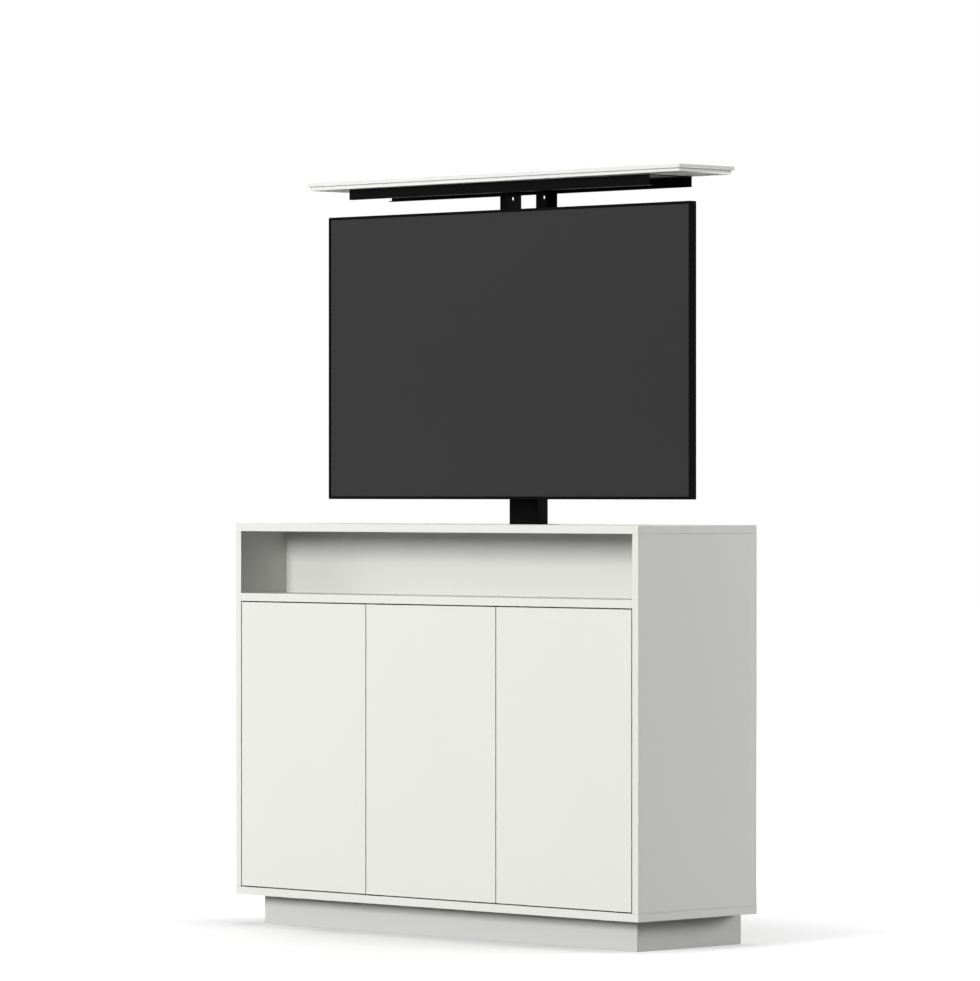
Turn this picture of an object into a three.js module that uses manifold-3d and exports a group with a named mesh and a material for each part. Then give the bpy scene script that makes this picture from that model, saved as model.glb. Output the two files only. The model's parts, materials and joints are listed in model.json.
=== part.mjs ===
// A cabinet with three flush doors, an open niche and a motor lift that carries a flat screen and its lid.
// Millimetres, +Z up, the front faces -Y. The origin is on the floor, under the middle of the cabinet.
// Inside the model, y is measured from the cabinet's front plane to the back.
import * as THREE from "three";
import { mergeVertices } from "three/addons/utils/BufferGeometryUtils.js";
import Module from "manifold-3d";

const wasm = await Module();
wasm.setup();

// Cabinet
const cabinetWidth = 1360;
const cabinetDepth = 400;
const cabinetHeight = 979;
const boardThickness = 19;
const jointGap = 0.2;
const plinthHeight = 73;
const plinthSetback = 50;
const nicheHeight = 151;
const wellDepth = 228;
const partitionThickness = 12;
const shelfThickness = 16;
const shelfSetback = 10;
const shelfHeightShare = 0.5;
const shelfPinRadius = 2.5;
const shelfPinHoleDepth = 8;
const shelfPinHoleCount = 5;
const shelfPinHolePitch = 32;
const shelfPinInset = 26;
const backPanelThickness = 8;
const backPanelSetback = 2;
const cableHoleRadius = 30;
const cableHoleHeight = 60;
const cableHoleOffset = 300;

// Doors
const doorCount = 3;
const doorGap = 3;
const doorThickness = 19;
const doorBackClearance = 2;
// A door hangs on its left edge at -1 and on its right edge at +1.
const doorHandShares = [-1, -1, 1];

// Pivot hinges
const pinInset = 4;
const pinRadius = 1.8;
const pinClearance = 0.3;
const pinReach = 3;
const leafLength = 48;
const leafFrontHalf = 3;
const leafBackWidth = 7;
const leafThickness = 3;
const leafProud = 1;
const leafClearance = 0.3;
const leafScrewHoleRadius = 1.7;
const leafScrewShares = [0.45, 0.85];

// Push latches
const latchWidth = 12;
const latchHeight = 12;
const latchLength = 40;
const latchFlangeWidth = 26;
const latchFlangeLength = 12;
const latchFlangeHeight = 3;
const latchScrewHoleRadius = 1.6;
const latchFromDoorEdge = 30;
const latchFromDoor = 7;
const plungerRadius = 3;
const plungerClearance = 0.4;
const plungerStroke = 3;
const plungerLength = 32;
const plungerTipRadius = 4;
const plungerTipLength = 3;
const plungerGap = 0.3;

// Screen
const screenSideMargin = 22.5;
const screenAspectShare = 9 / 16;
const bezelWidth = 6;
const frameDepth = 18.9;
const frameCornerRadius = 3;
const bezelStep = 1.2;
const panelThickness = 12;
const rearSheetThickness = 4;
const rearSheetOverlap = 2.5;
const rearBulgeWall = 2.5;
const rearBulgeDepth = 16;
const rearBulgeWidthShare = 0.7;
const rearBulgeHeightShare = 0.8;
const rearBulgeDrop = 45;
const rearBulgeSlope = 14;
const rearVentCount = 16;
const rearVentWidth = 4;
const rearVentLength = 60;
const rearVentPitch = 12;
const rearVentDepth = 3;
const rearVentDrop = 130;
const portBayWidth = 150;
const portBayHeight = 84;
const portBayDepth = 9;
const portBayOffset = 310;
const portBayRise = 46;
const wallMountPitch = 400;
const screenFromLidFront = 55.7;
const screenBelowLid = 64.5;

// Lid and its tray
const lidSideMargin = 51.5;
const lidDepth = 187;
const lidBackMargin = 21;
const lidLipThickness = 9;
const lidPlugThickness = 10;
const lidOverlap = 5;
const lidClearance = 1.5;
const lidSeatGap = 0.5;
const trayEndMargin = 122;
const trayDepth = 146;
const trayHeight = 25;
const trayFromLidFront = 26;
const trayWall = 2;
const trayLip = 12;
const trayNotchClearance = 1.5;
const trayScrewHoleRadius = 2.6;
const trayScrewHoleInset = 34;
const trayScrewShares = [0.06, 0.28, 0.72, 0.94];

// Lift
const liftTravel = 827;
const columnFromBack = 69;
const outerTubeWidth = 104;
const outerTubeDepth = 48;
const tubeWall = 2.5;
const tubeSlide = 2.5;
const tubeCorner = 2;
const midTubeStep = 11.5;
const outerTubeStep = 13;
const glideClearance = 0.3;
const collarLength = 40;
const collarFlange = 3;
const footFlange = 4;
const footPlugLength = 26;
const stageClearance = 2;
const lowerSpindleRadius = 5.5;
const upperSpindleRadius = 9;
const upperSpindleBore = 6;
const spindleClearance = 0.4;
const spindleOverrun = 12;
const spindleSocketDepth = 30;
const housingHeight = 40;
const housingWall = 5;
const housingFlange = 6;
const housingFlangeReach = 18;
const housingCorner = 10;
const footHoleRadius = 3.5;
const footHoleInset = 9;
const motorRadius = 26;
const motorLength = 118;
const motorNeckRadius = 20;
const motorNeckLength = 6;
const motorCapLength = 14;
const motorCapRadius = 22;
const motorGap = 9;
const motorGrooveCount = 4;
const motorGroovePitch = 7;
const motorGrooveWidth = 2.5;
const motorGrooveDepth = 1.5;
const controlBoxWidth = 150;
const controlBoxDepth = 60;
const controlBoxHeight = 35;
const controlBoxCorner = 6;
const controlBoxOffset = 330;
const controlBoxEar = 14;
const controlBoxEarDepth = 22;
const controlBoxEarThickness = 3;
const controlBoxHoleRadius = 2.4;
const inletWidth = 27;
const inletHeight = 20;
const inletDepth = 14;

// Carriage above the inner tube
const headPlateThickness = 6;
const uprightHeight = 150;
const uprightSpan = 140;
const uprightFlange = 18.5;
const uprightDepth = 54.5;
const uprightWall = 3;
const uprightHoleRadius = 5.5;
const uprightHoleDrop = 32;
const railLength = 460;
const railHeight = 60;
const railWall = 3;
const railRise = 10;
const railHoleRadius = 3.4;
const railHolePitch = 40;
const railHoleCount = 10;
const armWidth = 30;
const armWall = 2;
const armDepth = 10;
const armHoleRadius = 3.4;
const armHolePitch = 50;
const armHoleCount = 9;
const armTail = 20;
const armGap = 0.3;

// Faces of round forms
const roundFaces = 24;
const smallFaces = 12;
const pinFaces = 8;
const cornerFaces = 3;
const cutOverrun = 5;

// Heights and widths that follow from the cabinet's sizes
const innerHalf = cabinetWidth / 2 - boardThickness;
const bottomBoardTop = plinthHeight + boardThickness;
const topBoardBottom = cabinetHeight - boardThickness;
const dividerTop = topBoardBottom - nicheHeight;
const dividerBottom = dividerTop - boardThickness;
const doorWidth = (2 * innerHalf - (doorCount + 1) * doorGap) / doorCount;
const doorPitch = doorWidth + doorGap;
const doorBottom = bottomBoardTop + doorGap;
const doorTop = dividerBottom - doorGap;
const standFront = doorThickness + doorBackClearance;
const shelfFront = standFront + shelfSetback;
const shelfBottom = bottomBoardTop + (dividerBottom - bottomBoardTop) * shelfHeightShare - shelfThickness / 2;
const shelfPinHeight = shelfBottom - jointGap - shelfPinRadius;

// Depths, measured from the front plane
const backPanelFront = cabinetDepth - backPanelSetback - backPanelThickness;
const nicheDepth = backPanelFront - wellDepth - partitionThickness;
const lidFront = cabinetDepth - lidBackMargin - lidDepth;
const trayFront = lidFront + trayFromLidFront;
const screenFront = lidFront + screenFromLidFront;
const columnCentre = cabinetDepth - columnFromBack;

// Lengths of the lid, its tray and the screen
const lidLength = cabinetWidth - 2 * lidSideMargin;
const trayLength = lidLength - 2 * trayEndMargin;
const screenWidth = lidLength - 2 * screenSideMargin;
const screenHeight = screenWidth * screenAspectShare;

// Heights of the raised lid, tray and screen
const lidPlugBottom = cabinetHeight + lidSeatGap + liftTravel - lidPlugThickness;
const lidTop = lidPlugBottom + lidPlugThickness + lidLipThickness;
const trayTop = lidPlugBottom - jointGap;
const trayWebBottom = trayTop - trayWall;
const frameWidth = screenWidth + 2 * bezelWidth;
const frameHeight = screenHeight + 2 * bezelWidth;
const screenMiddle = lidPlugBottom - screenBelowLid - frameHeight / 2;

// Tube sections and stage heights
const outerInsideWidth = outerTubeWidth - 2 * tubeWall;
const outerInsideDepth = outerTubeDepth - 2 * tubeWall;
const midTubeWidth = outerInsideWidth - 2 * tubeSlide;
const midTubeDepth = outerInsideDepth - 2 * tubeSlide;
const midInsideWidth = midTubeWidth - 2 * tubeWall;
const midInsideDepth = midTubeDepth - 2 * tubeWall;
const innerTubeWidth = midInsideWidth - 2 * tubeSlide;
const innerTubeDepth = midInsideDepth - 2 * tubeSlide;
const housingBottom = bottomBoardTop + jointGap;
const housingTop = housingBottom + housingHeight;
const outerTubeBottom = housingTop + jointGap;
const midTubeBottom = housingTop + stageClearance + footFlange + jointGap + liftTravel / 2;
const midPlugTop = midTubeBottom + footPlugLength;
const innerTubeBottom = midPlugTop + stageClearance + footFlange + jointGap + liftTravel / 2;
const headPlateTop = trayWebBottom - jointGap - uprightHeight;
const headPlateBottom = headPlateTop - headPlateThickness;
const innerTubeTop = headPlateBottom - jointGap;
const midTubeTop = innerTubeTop - liftTravel / 2 - midTubeStep;
const outerTubeTop = midTubeTop - liftTravel / 2 - outerTubeStep;

const painted = (color, roughness) => new THREE.MeshStandardMaterial({ color, roughness, metalness: 0 });
const metal = (color, roughness) => new THREE.MeshStandardMaterial({ color, roughness, metalness: 0.9 });

const whiteBoard = () => painted(0xeeefea, 0.45);
const backBoard = () => painted(0xd9d9d4, 0.7);
const blackSteel = () => painted(0x17171a, 0.5);
const blackPlastic = () => painted(0x1b1b1d, 0.6);
const brightSteel = () => metal(0xb9bcc0, 0.3);
const castMetal = () => metal(0x55585c, 0.55);
const screenGlass = () => painted(0x2b2b2d, 0.35);

const model = new THREE.Group();
const cabinet = new THREE.Group();
cabinet.position.y = -cabinetDepth / 2;
model.add(cabinet);

// A closed geometry as a solid that can be cut and joined
function solidOf(geometry) {
  const plain = geometry.index ? geometry.toNonIndexed() : geometry.clone();
  plain.deleteAttribute("normal");
  plain.deleteAttribute("uv");
  const merged = mergeVertices(plain);
  return new wasm.Manifold(
    new wasm.Mesh({
      numProp: 3,
      vertProperties: merged.attributes.position.array,
      triVerts: new Uint32Array(merged.index.array),
    }),
  );
}

function geometryOf(solid) {
  const mesh = solid.getMesh();
  const geometry = new THREE.BufferGeometry();
  geometry.setAttribute("position", new THREE.BufferAttribute(new Float32Array(mesh.vertProperties), 3));
  geometry.setIndex(new THREE.BufferAttribute(new Uint32Array(mesh.triVerts), 1));
  const flat = geometry.toNonIndexed();
  flat.computeVertexNormals();
  return flat;
}

function cut(geometry, tools) {
  return geometryOf(tools.reduce((left, tool) => left.subtract(solidOf(tool)), solidOf(geometry)));
}

function join(first, others) {
  return geometryOf(others.reduce((sum, other) => sum.add(solidOf(other)), solidOf(first)));
}

function add(name, geometry, material) {
  const mesh = new THREE.Mesh(geometry, material);
  mesh.name = name;
  cabinet.add(mesh);
}

// A box between two corners, each given as [x, y, z]
function box(low, high) {
  const size = high.map((value, axis) => value - low[axis]);
  const middle = high.map((value, axis) => (value + low[axis]) / 2);
  return new THREE.BoxGeometry(...size).translate(...middle);
}

// A rectangle's outline round (x, y), with rounded corners where a radius is given
function rectangle(width, depth, radius = 0, x = 0, y = 0, outline = new THREE.Shape()) {
  const right = x + width / 2;
  const left = x - width / 2;
  const back = y + depth / 2;
  const front = y - depth / 2;
  if (radius <= 0) {
    outline.moveTo(left, front);
    outline.lineTo(right, front);
    outline.lineTo(right, back);
    outline.lineTo(left, back);
    return outline.closePath();
  }
  outline.moveTo(left + radius, front);
  outline.lineTo(right - radius, front);
  outline.absarc(right - radius, front + radius, radius, -Math.PI / 2, 0);
  outline.lineTo(right, back - radius);
  outline.absarc(right - radius, back - radius, radius, 0, Math.PI / 2);
  outline.lineTo(left + radius, back);
  outline.absarc(left + radius, back - radius, radius, Math.PI / 2, Math.PI);
  outline.lineTo(left, front + radius);
  outline.absarc(left + radius, front + radius, radius, Math.PI, 1.5 * Math.PI);
  return outline;
}

function rise(outline, bottom, height, faces = cornerFaces) {
  const options = { depth: height, bevelEnabled: false, curveSegments: faces };
  const shape = new THREE.ExtrudeGeometry(outline, options);
  return shape.translate(0, 0, bottom);
}

// An outline drawn in y and z, run along x from left to right
function runAlongX(outline, left, right) {
  const options = { depth: right - left, bevelEnabled: false, curveSegments: cornerFaces };
  const shape = new THREE.ExtrudeGeometry(outline, options);
  shape.rotateX(Math.PI / 2).rotateZ(Math.PI / 2);
  return shape.translate(left, 0, 0);
}

// An outline drawn in x and z, run back from the front plane
function runBack(outline, front, depth, faces = cornerFaces) {
  const options = { depth, bevelEnabled: false, curveSegments: faces };
  const shape = new THREE.ExtrudeGeometry(outline, options);
  return shape.rotateX(Math.PI / 2).translate(0, front + depth, 0);
}

function upright(radius, bottom, height, x, y, faces = roundFaces) {
  const shape = new THREE.CylinderGeometry(radius, radius, height, faces);
  return shape.rotateX(Math.PI / 2).translate(x, y, bottom + height / 2);
}

function lying(radius, front, depth, x, z, faces = smallFaces) {
  return new THREE.CylinderGeometry(radius, radius, depth, faces).translate(x, front + depth / 2, z);
}

function across(radius, left, length, y, z, faces = smallFaces) {
  const shape = new THREE.CylinderGeometry(radius, radius, length, faces);
  return shape.rotateZ(Math.PI / 2).translate(left + length / 2, y, z);
}

// A round form turned about the vertical through (x, y), from [radius, height] points
function turned(points, x, y, faces = roundFaces) {
  const profile = points.map(([radius, height]) => new THREE.Vector2(radius, height));
  return new THREE.LatheGeometry(profile, faces).rotateX(Math.PI / 2).translate(x, y, 0);
}

// Plinth: front and sides mitred, the back board between the sides
function addPlinth() {
  const half = cabinetWidth / 2 - plinthSetback;
  const inner = half - boardThickness;
  const height = plinthHeight - jointGap;
  const front = new THREE.Shape();
  front.moveTo(-half + jointGap, plinthSetback);
  front.lineTo(half - jointGap, plinthSetback);
  front.lineTo(inner - jointGap, plinthSetback + boardThickness);
  front.lineTo(-inner + jointGap, plinthSetback + boardThickness);
  front.closePath();
  add("plinth_front", rise(front, 0, height), whiteBoard());
  for (const [name, side] of [["plinth_left", -1], ["plinth_right", 1]]) {
    const outline = new THREE.Shape();
    outline.moveTo(side * half, plinthSetback + jointGap);
    outline.lineTo(side * half, cabinetDepth);
    outline.lineTo(side * inner, cabinetDepth);
    outline.lineTo(side * inner, plinthSetback + boardThickness + jointGap);
    outline.closePath();
    add(name, rise(outline, 0, height), whiteBoard());
  }
  const back = box(
    [-inner + jointGap, cabinetDepth - boardThickness, 0],
    [inner - jointGap, cabinetDepth, height],
  );
  add("plinth_back", back, whiteBoard());
}

// One leaf of a pivot hinge, or its recess when it is grown, drawn round the pin
function leafOutline(pinX, side, grow) {
  const nose = leafFrontHalf + grow;
  const far = leafLength + grow;
  const back = leafBackWidth + grow;
  const outline = new THREE.Shape();
  outline.moveTo(pinX - side * far, pinInset - nose);
  outline.lineTo(pinX - side * far, pinInset + back);
  outline.lineTo(pinX, pinInset + back);
  outline.lineTo(pinX + side * nose, pinInset + back - nose);
  outline.lineTo(pinX + side * nose, pinInset);
  if (side > 0) outline.absarc(pinX, pinInset, nose, 0, -Math.PI / 2, true);
  else outline.absarc(pinX, pinInset, nose, Math.PI, 1.5 * Math.PI);
  outline.closePath();
  return outline;
}

const doorLeft = (index) => -innerHalf + doorGap + index * doorPitch;
const doorRight = (index) => doorLeft(index) + doorWidth;
const pinPlace = (index) =>
  doorHandShares[index] < 0 ? doorLeft(index) + pinInset : doorRight(index) - pinInset;
const doorIndexes = [...Array(doorCount).keys()];

// The recesses for the frame leaves, cut into the face of a board at the given height
function leafRecesses(face, up) {
  const depth = leafThickness - leafProud + jointGap;
  const bottom = up ? face : face - depth;
  return doorIndexes.map((index) =>
    rise(leafOutline(pinPlace(index), doorHandShares[index], leafClearance), bottom, depth),
  );
}

function addCarcass() {
  const outside = cabinetWidth / 2;
  const bottom = box([-outside, 0, plinthHeight], [outside, cabinetDepth, bottomBoardTop]);
  add("bottom_board", cut(bottom, leafRecesses(bottomBoardTop, false)), whiteBoard());
  for (const [name, side] of [["left_side", -1], ["right_side", 1]]) {
    const low = [Math.min(side * innerHalf, side * outside), 0, bottomBoardTop + jointGap];
    const high = [Math.max(side * innerHalf, side * outside), cabinetDepth, topBoardBottom - jointGap];
    add(name, cut(box(low, high), shelfPinHoles(side * innerHalf, side)), whiteBoard());
  }
  const top = rectangle(cabinetWidth, cabinetDepth, 0, 0, cabinetDepth / 2);
  const opening = lidClearance - lidOverlap;
  top.holes.push(
    rectangle(
      lidLength + 2 * opening,
      lidDepth + 2 * opening,
      0,
      0,
      lidFront + lidDepth / 2,
      new THREE.Path(),
    ),
  );
  add("top_board", rise(top, topBoardBottom, boardThickness), whiteBoard());
  const reach = innerHalf - jointGap;
  const divider = box([-reach, 0, dividerBottom], [reach, nicheDepth - jointGap, dividerTop]);
  add("niche_floor", cut(divider, leafRecesses(dividerBottom, true)), whiteBoard());
  const partition = box(
    [-reach, nicheDepth, bottomBoardTop + jointGap],
    [reach, nicheDepth + partitionThickness, topBoardBottom - jointGap],
  );
  add("partition", partition, whiteBoard());
  const panel = box(
    [-reach, backPanelFront, bottomBoardTop + jointGap],
    [reach, backPanelFront + backPanelThickness, topBoardBottom - jointGap],
  );
  const hole = lying(
    cableHoleRadius,
    backPanelFront - cutOverrun,
    backPanelThickness + 2 * cutOverrun,
    -cableHoleOffset,
    bottomBoardTop + cableHoleHeight,
    roundFaces,
  );
  add("back_panel", cut(panel, [hole]), backBoard());
}

// Two rows of holes for shelf pins, drilled into the board face at x, whose wood lies towards side
function shelfPinHoles(x, side) {
  const left = side > 0 ? x - cutOverrun : x - shelfPinHoleDepth;
  const holes = [];
  for (const y of [shelfFront + shelfPinInset, nicheDepth - jointGap - shelfPinInset]) {
    for (let row = 0; row < shelfPinHoleCount; row += 1) {
      const z = shelfPinHeight + (row - (shelfPinHoleCount - 1) / 2) * shelfPinHolePitch;
      holes.push(across(shelfPinRadius, left, shelfPinHoleDepth + cutOverrun, y, z, pinFaces));
    }
  }
  return holes;
}

// Standing boards between the doors, and a shelf behind each door
function addInnerBoards() {
  const bottom = bottomBoardTop + jointGap;
  const top = dividerBottom - jointGap;
  const back = nicheDepth - jointGap;
  const half = boardThickness / 2;
  const walls = [-innerHalf];
  for (let index = 1; index < doorCount; index += 1) {
    const middle = doorLeft(index) - doorGap / 2;
    const left = middle - half;
    const right = middle + half;
    const board = box([left, standFront, bottom], [right, back, top]);
    const holes = [...shelfPinHoles(left, 1), ...shelfPinHoles(right, -1)];
    add("standing_board_" + index, cut(board, holes), whiteBoard());
    walls.push(left, right);
  }
  walls.push(innerHalf);
  for (const index of doorIndexes) {
    const low = [walls[2 * index] + jointGap, shelfFront, shelfBottom];
    const high = [walls[2 * index + 1] - jointGap, back, shelfBottom + shelfThickness];
    add("shelf_" + (index + 1), box(low, high), whiteBoard());
  }
}

// A door with its two pivot hinges: each has a leaf let into the door and one let into the frame
function addDoor(index) {
  const side = doorHandShares[index];
  const name = "door_" + (index + 1);
  const pinX = pinPlace(index);
  const letIn = leafThickness - leafProud;
  const recess = leafOutline(pinX, side, leafClearance);
  const holeRadius = pinRadius + pinClearance;
  const pocketDepth = letIn + jointGap;
  const drillDepth = pocketDepth + pinReach;
  const blank = box([doorLeft(index), 0, doorBottom], [doorRight(index), doorThickness, doorTop]);
  const door = cut(blank, [
    rise(recess, doorTop - pocketDepth, pocketDepth + cutOverrun),
    rise(recess, doorBottom - cutOverrun, pocketDepth + cutOverrun),
    upright(holeRadius, doorTop - drillDepth, drillDepth, pinX, pinInset, smallFaces),
    upright(holeRadius, doorBottom, drillDepth, pinX, pinInset, smallFaces),
  ]);
  add(name, door, whiteBoard());
  const outline = leafOutline(pinX, side, 0);
  const pinLength = doorGap + letIn + pinReach;
  const screwY = pinInset + (leafBackWidth - leafFrontHalf) / 2;
  const doorLeaves = { top: doorTop - letIn, bottom: doorBottom - leafProud };
  const frameLeaves = { top: dividerBottom - leafProud, bottom: bottomBoardTop - letIn };
  const pinBottoms = { top: dividerBottom - pinLength, bottom: bottomBoardTop };
  for (const end of ["top", "bottom"]) {
    const drill = upright(
      holeRadius,
      doorLeaves[end] - cutOverrun,
      leafThickness + 2 * cutOverrun,
      pinX,
      pinInset,
      smallFaces,
    );
    const screwHoles = (leafBottom) =>
      leafScrewShares.map((share) => {
        const x = pinX - side * leafLength * share;
        const bottom = leafBottom - cutOverrun;
        return upright(leafScrewHoleRadius, bottom, leafThickness + 2 * cutOverrun, x, screwY, pinFaces);
      });
    const doorLeaf = cut(rise(outline, doorLeaves[end], leafThickness), [
      drill,
      ...screwHoles(doorLeaves[end]),
    ]);
    add(name + "_" + end + "_door_leaf", doorLeaf, brightSteel());
    const pin = upright(pinRadius, pinBottoms[end], pinLength, pinX, pinInset, smallFaces);
    const frameLeaf = join(rise(outline, frameLeaves[end], leafThickness), [pin]);
    add(name + "_" + end + "_frame_leaf", cut(frameLeaf, screwHoles(frameLeaves[end])), brightSteel());
  }
}

// A push latch under the niche floor, at the door's free edge: a housing with a sprung plunger
function addLatch(index) {
  const side = doorHandShares[index];
  const freeEdge = side < 0 ? doorRight(index) : doorLeft(index);
  const x = freeEdge + side * latchFromDoorEdge;
  const top = dividerBottom - jointGap;
  const z = top - latchHeight / 2;
  const front = doorThickness + latchFromDoor;
  const back = front + latchLength;
  const shell = box([x - latchWidth / 2, front, top - latchHeight], [x + latchWidth / 2, back, top]);
  const ears = box(
    [x - latchFlangeWidth / 2, back - latchFlangeLength, top - latchFlangeHeight],
    [x + latchFlangeWidth / 2, back, top],
  );
  const tipFront = doorThickness + plungerGap;
  const stemEnd = tipFront + plungerLength;
  const boreDepth = stemEnd + plungerStroke + plungerClearance - front;
  const bore = lying(plungerRadius + plungerClearance, front - cutOverrun, boreDepth + cutOverrun, x, z);
  const earMiddle = (latchWidth + latchFlangeWidth) / 4;
  const screwHoles = [-1, 1].map((end) =>
    upright(
      latchScrewHoleRadius,
      top - latchFlangeHeight - cutOverrun,
      latchFlangeHeight + 2 * cutOverrun,
      x + end * earMiddle,
      back - latchFlangeLength / 2,
      pinFaces,
    ),
  );
  add("latch_" + (index + 1) + "_housing", cut(join(shell, [ears]), [bore, ...screwHoles]), blackPlastic());
  const stem = lying(plungerRadius, tipFront, plungerLength, x, z);
  const tip = lying(plungerTipRadius, tipFront, plungerTipLength, x, z);
  add("latch_" + (index + 1) + "_plunger", join(tip, [stem]), blackPlastic());
}

// A rounded rectangle round the column's centre line, as an outline or as the hole in one
const section = (width, depth, radius) => rectangle(width, depth, radius, 0, columnCentre);
const sectionHole = (width, depth, radius) =>
  rectangle(width, depth, radius, 0, columnCentre, new THREE.Path());

// A rectangular tube, standing on its bottom end
function tube(width, depth, bottom, top) {
  const outline = section(width, depth, tubeCorner);
  outline.holes.push(sectionHole(width - 2 * tubeWall, depth - 2 * tubeWall, tubeCorner - tubeWall));
  return rise(outline, bottom, top - bottom);
}

// A glide collar in the top of a tube: a sleeve between two tubes with a flange over the outer one
function collar(outsideWidth, outsideDepth, tubeTop) {
  const sleeveWidth = outsideWidth - 2 * tubeWall - 2 * glideClearance;
  const sleeveDepth = outsideDepth - 2 * tubeWall - 2 * glideClearance;
  const slideWidth = outsideWidth - 2 * tubeWall - 2 * tubeSlide + 2 * glideClearance;
  const slideDepth = outsideDepth - 2 * tubeWall - 2 * tubeSlide + 2 * glideClearance;
  const sleeve = section(sleeveWidth, sleeveDepth, tubeCorner - tubeWall);
  sleeve.holes.push(sectionHole(slideWidth, slideDepth, tubeCorner));
  const flange = section(outsideWidth, outsideDepth, tubeCorner);
  flange.holes.push(sectionHole(slideWidth, slideDepth, tubeCorner));
  return join(rise(sleeve, tubeTop - collarLength, collarLength + jointGap + collarFlange), [
    rise(flange, tubeTop + jointGap, collarFlange),
  ]);
}

// A foot in the bottom of a moving tube: a plug with the spindle nut's bore, on a gliding flange
function foot(tubeWidth, tubeDepth, tubeBottom, boreRadius) {
  const plugWidth = tubeWidth - 2 * tubeWall - 2 * glideClearance;
  const plugDepth = tubeDepth - 2 * tubeWall - 2 * glideClearance;
  const flangeWidth = tubeWidth + 2 * tubeSlide - 2 * glideClearance;
  const flangeDepth = tubeDepth + 2 * tubeSlide - 2 * glideClearance;
  const corner = tubeCorner - tubeWall;
  const height = footFlange + footPlugLength;
  const bottom = tubeBottom - jointGap - footFlange;
  const flange = rise(section(flangeWidth, flangeDepth, corner), bottom, footFlange);
  const plug = rise(section(plugWidth, plugDepth, corner), bottom, height);
  const bore = upright(boreRadius, bottom - cutOverrun, height + 2 * cutOverrun, 0, columnCentre);
  return cut(join(flange, [plug]), [bore]);
}

function addColumn() {
  const outer = [outerTubeWidth, outerTubeDepth];
  const mid = [midTubeWidth, midTubeDepth];
  const inner = [innerTubeWidth, innerTubeDepth];
  const midBore = lowerSpindleRadius + spindleClearance;
  const innerBore = upperSpindleRadius + spindleClearance;
  add("outer_tube", tube(...outer, outerTubeBottom, outerTubeTop), blackSteel());
  add("outer_collar", collar(...outer, outerTubeTop), blackPlastic());
  add("mid_tube", tube(...mid, midTubeBottom, midTubeTop), blackSteel());
  add("mid_collar", collar(...mid, midTubeTop), blackPlastic());
  add("mid_foot", foot(...mid, midTubeBottom, midBore), blackPlastic());
  add("inner_tube", tube(...inner, innerTubeBottom, innerTubeTop), blackSteel());
  add("inner_foot", foot(...inner, innerTubeBottom, innerBore), blackPlastic());
}

// The lower spindle turns in the gear housing. The upper one is a sleeve over it, on the middle tube's foot.
function addSpindles() {
  const lowerBottom = housingTop - spindleSocketDepth;
  const lowerTop = midTubeBottom + footPlugLength + spindleOverrun;
  const rod = upright(lowerSpindleRadius, lowerBottom, lowerTop - lowerBottom, 0, columnCentre);
  add("lower_spindle", rod, brightSteel());
  const upperTop = innerTubeBottom + footPlugLength + spindleOverrun;
  const sleeve = new THREE.Shape();
  sleeve.absarc(0, columnCentre, upperSpindleRadius, 0, 2 * Math.PI);
  const bore = new THREE.Path();
  bore.absarc(0, columnCentre, upperSpindleBore, 0, 2 * Math.PI);
  sleeve.holes.push(bore);
  add("upper_spindle", rise(sleeve, midPlugTop, upperTop - midPlugTop, roundFaces), brightSteel());
}

// The gear housing under the column, with its flange, and the motor that stands on it beside the column
function addDrive() {
  const motorX = outerTubeWidth / 2 + motorGap + motorRadius;
  const left = -outerTubeWidth / 2 - housingWall;
  const right = motorX + motorRadius + housingWall;
  const middle = (left + right) / 2;
  const width = right - left;
  const depth = outerTubeDepth + 2 * housingWall;
  const outline = rectangle(width, depth, housingCorner, middle, columnCentre);
  const body = rise(outline, housingBottom, housingHeight);
  const flangeWidth = width + 2 * housingFlangeReach;
  const flangeOutline = rectangle(flangeWidth, depth, housingCorner, middle, columnCentre);
  const flange = rise(flangeOutline, housingBottom, housingFlange);
  const socket = upright(
    lowerSpindleRadius + spindleClearance,
    housingTop - spindleSocketDepth - spindleClearance,
    spindleSocketDepth + spindleClearance + cutOverrun,
    0,
    columnCentre,
  );
  const holes = [];
  const holeBottom = housingBottom - cutOverrun;
  const holeHeight = housingFlange + 2 * cutOverrun;
  for (const side of [-1, 1]) {
    for (const end of [-1, 1]) {
      const x = middle + side * (flangeWidth / 2 - footHoleInset);
      const y = columnCentre + end * (depth / 2 - 2 * footHoleInset);
      holes.push(upright(footHoleRadius, holeBottom, holeHeight, x, y, smallFaces));
    }
  }
  add("gear_housing", cut(join(body, [flange]), [socket, ...holes]), castMetal());
  const base = housingTop + jointGap;
  const shoulder = base + motorLength - motorCapLength;
  const grooves = [];
  for (let count = motorGrooveCount; count > 0; count -= 1) {
    const low = shoulder - count * motorGroovePitch;
    const high = low + motorGrooveWidth;
    grooves.push(
      [motorRadius, low],
      [motorRadius - motorGrooveDepth, low],
      [motorRadius - motorGrooveDepth, high],
      [motorRadius, high],
    );
  }
  const motor = turned(
    [
      [0, base],
      [motorNeckRadius, base],
      [motorNeckRadius, base + motorNeckLength],
      [motorRadius, base + motorNeckLength],
      ...grooves,
      [motorRadius, shoulder],
      [motorCapRadius, shoulder],
      [motorCapRadius, base + motorLength],
      [0, base + motorLength],
    ],
    motorX,
    columnCentre,
  );
  add("motor", motor, blackSteel());
}

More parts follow.
